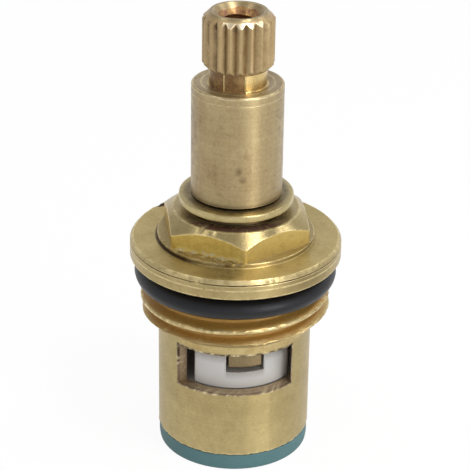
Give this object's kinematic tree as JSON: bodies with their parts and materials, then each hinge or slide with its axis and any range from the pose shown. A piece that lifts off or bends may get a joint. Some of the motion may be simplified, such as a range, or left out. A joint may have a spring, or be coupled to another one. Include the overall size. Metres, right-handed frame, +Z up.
{
  "type": "ceramic disc tap cartridge",
  "caption": "Quarter-turn ceramic disc tap cartridge: brass threaded body with flange, hexagon and side windows, splined spindle, bow-tie disc and green seal.",
  "frame": {"origin": "middle of the valve seal's lower face, on the spindle's axis", "axes": "+Z up the spindle axis towards the splined end, -Y towards the front window of the barrel, +X to the right as seen from the front"},
  "size_m": [0.0232, 0.0232, 0.0509],
  "materials": {
    "turned_brass": "turned, satin, lightly tarnished",
    "stem_brass": "turned, satin, lightly tarnished",
    "clip_brass": "stamped, polished",
    "black_rubber": "moulded, greased",
    "green_rubber": "moulded, matt",
    "white_ceramic": "sintered, lapped",
    "washer_plastic": "moulded",
    "support_steel": "pressed"
  },
  "bodies": {
    "root": {"housing": "turned_brass", "body_ring": "black_rubber", "thrust_washer": "washer_plastic", "fixed_disc": "white_ceramic", "valve_seal": "green_rubber", "seal_support": "support_steel"},
    "spindle": {"spindle": "stem_brass", "retaining_clip": "clip_brass", "spindle_ring_lower": "black_rubber", "spindle_ring_upper": "black_rubber"},
    "moving_disc": {"moving_disc": "white_ceramic"}
  },
  "joints": [
    {"name": "spindle_turn", "type": "hinge", "parent": "root", "child": "spindle", "pos_m": [0, 0, 0.0154], "axis": [0, 0, 1], "range_deg": [-10.5, 79.5]},
    {"name": "disc_turn", "type": "hinge", "parent": "root", "child": "moving_disc", "pos_m": [0, 0, 0.0119], "axis": [0, 0, 1], "range_deg": [-10.5, 79.5]}
  ],
  "couplings": [
    {"joint": "disc_turn", "follows": "spindle_turn", "ratio": 1}
  ]
}
